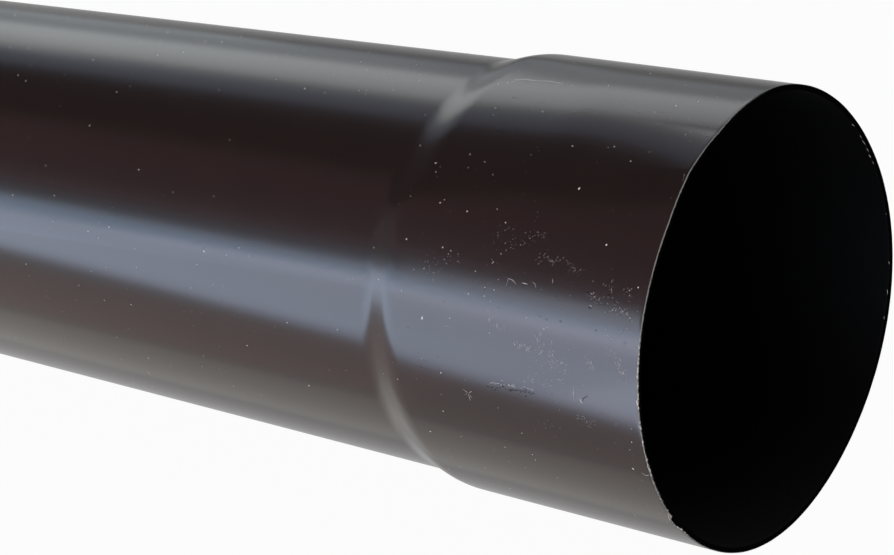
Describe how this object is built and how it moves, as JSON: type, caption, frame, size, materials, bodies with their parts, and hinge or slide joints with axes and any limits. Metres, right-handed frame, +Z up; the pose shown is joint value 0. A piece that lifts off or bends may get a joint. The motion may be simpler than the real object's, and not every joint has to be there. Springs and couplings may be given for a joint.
{
  "type": "pvc downpipe",
  "caption": "Round PVC rainwater downpipe, a thin straight tube with a plain drawn socket at one end for the next pipe.",
  "frame": {"origin": "on the floor under the middle of the pipe's length", "axes": "+X along the pipe's axis, out of the socket's mouth; +Z up; the pipe lies level"},
  "size_m": [1, 0.1048, 0.1047],
  "materials": {
    "brown_pvc": "very dark brown rigid PVC with an extruded satin skin, dusty and a little scuffed at the socket, sawn ends"
  },
  "bodies": {
    "root": {"pipe": "brown_pvc"}
  },
  "joints": []
}
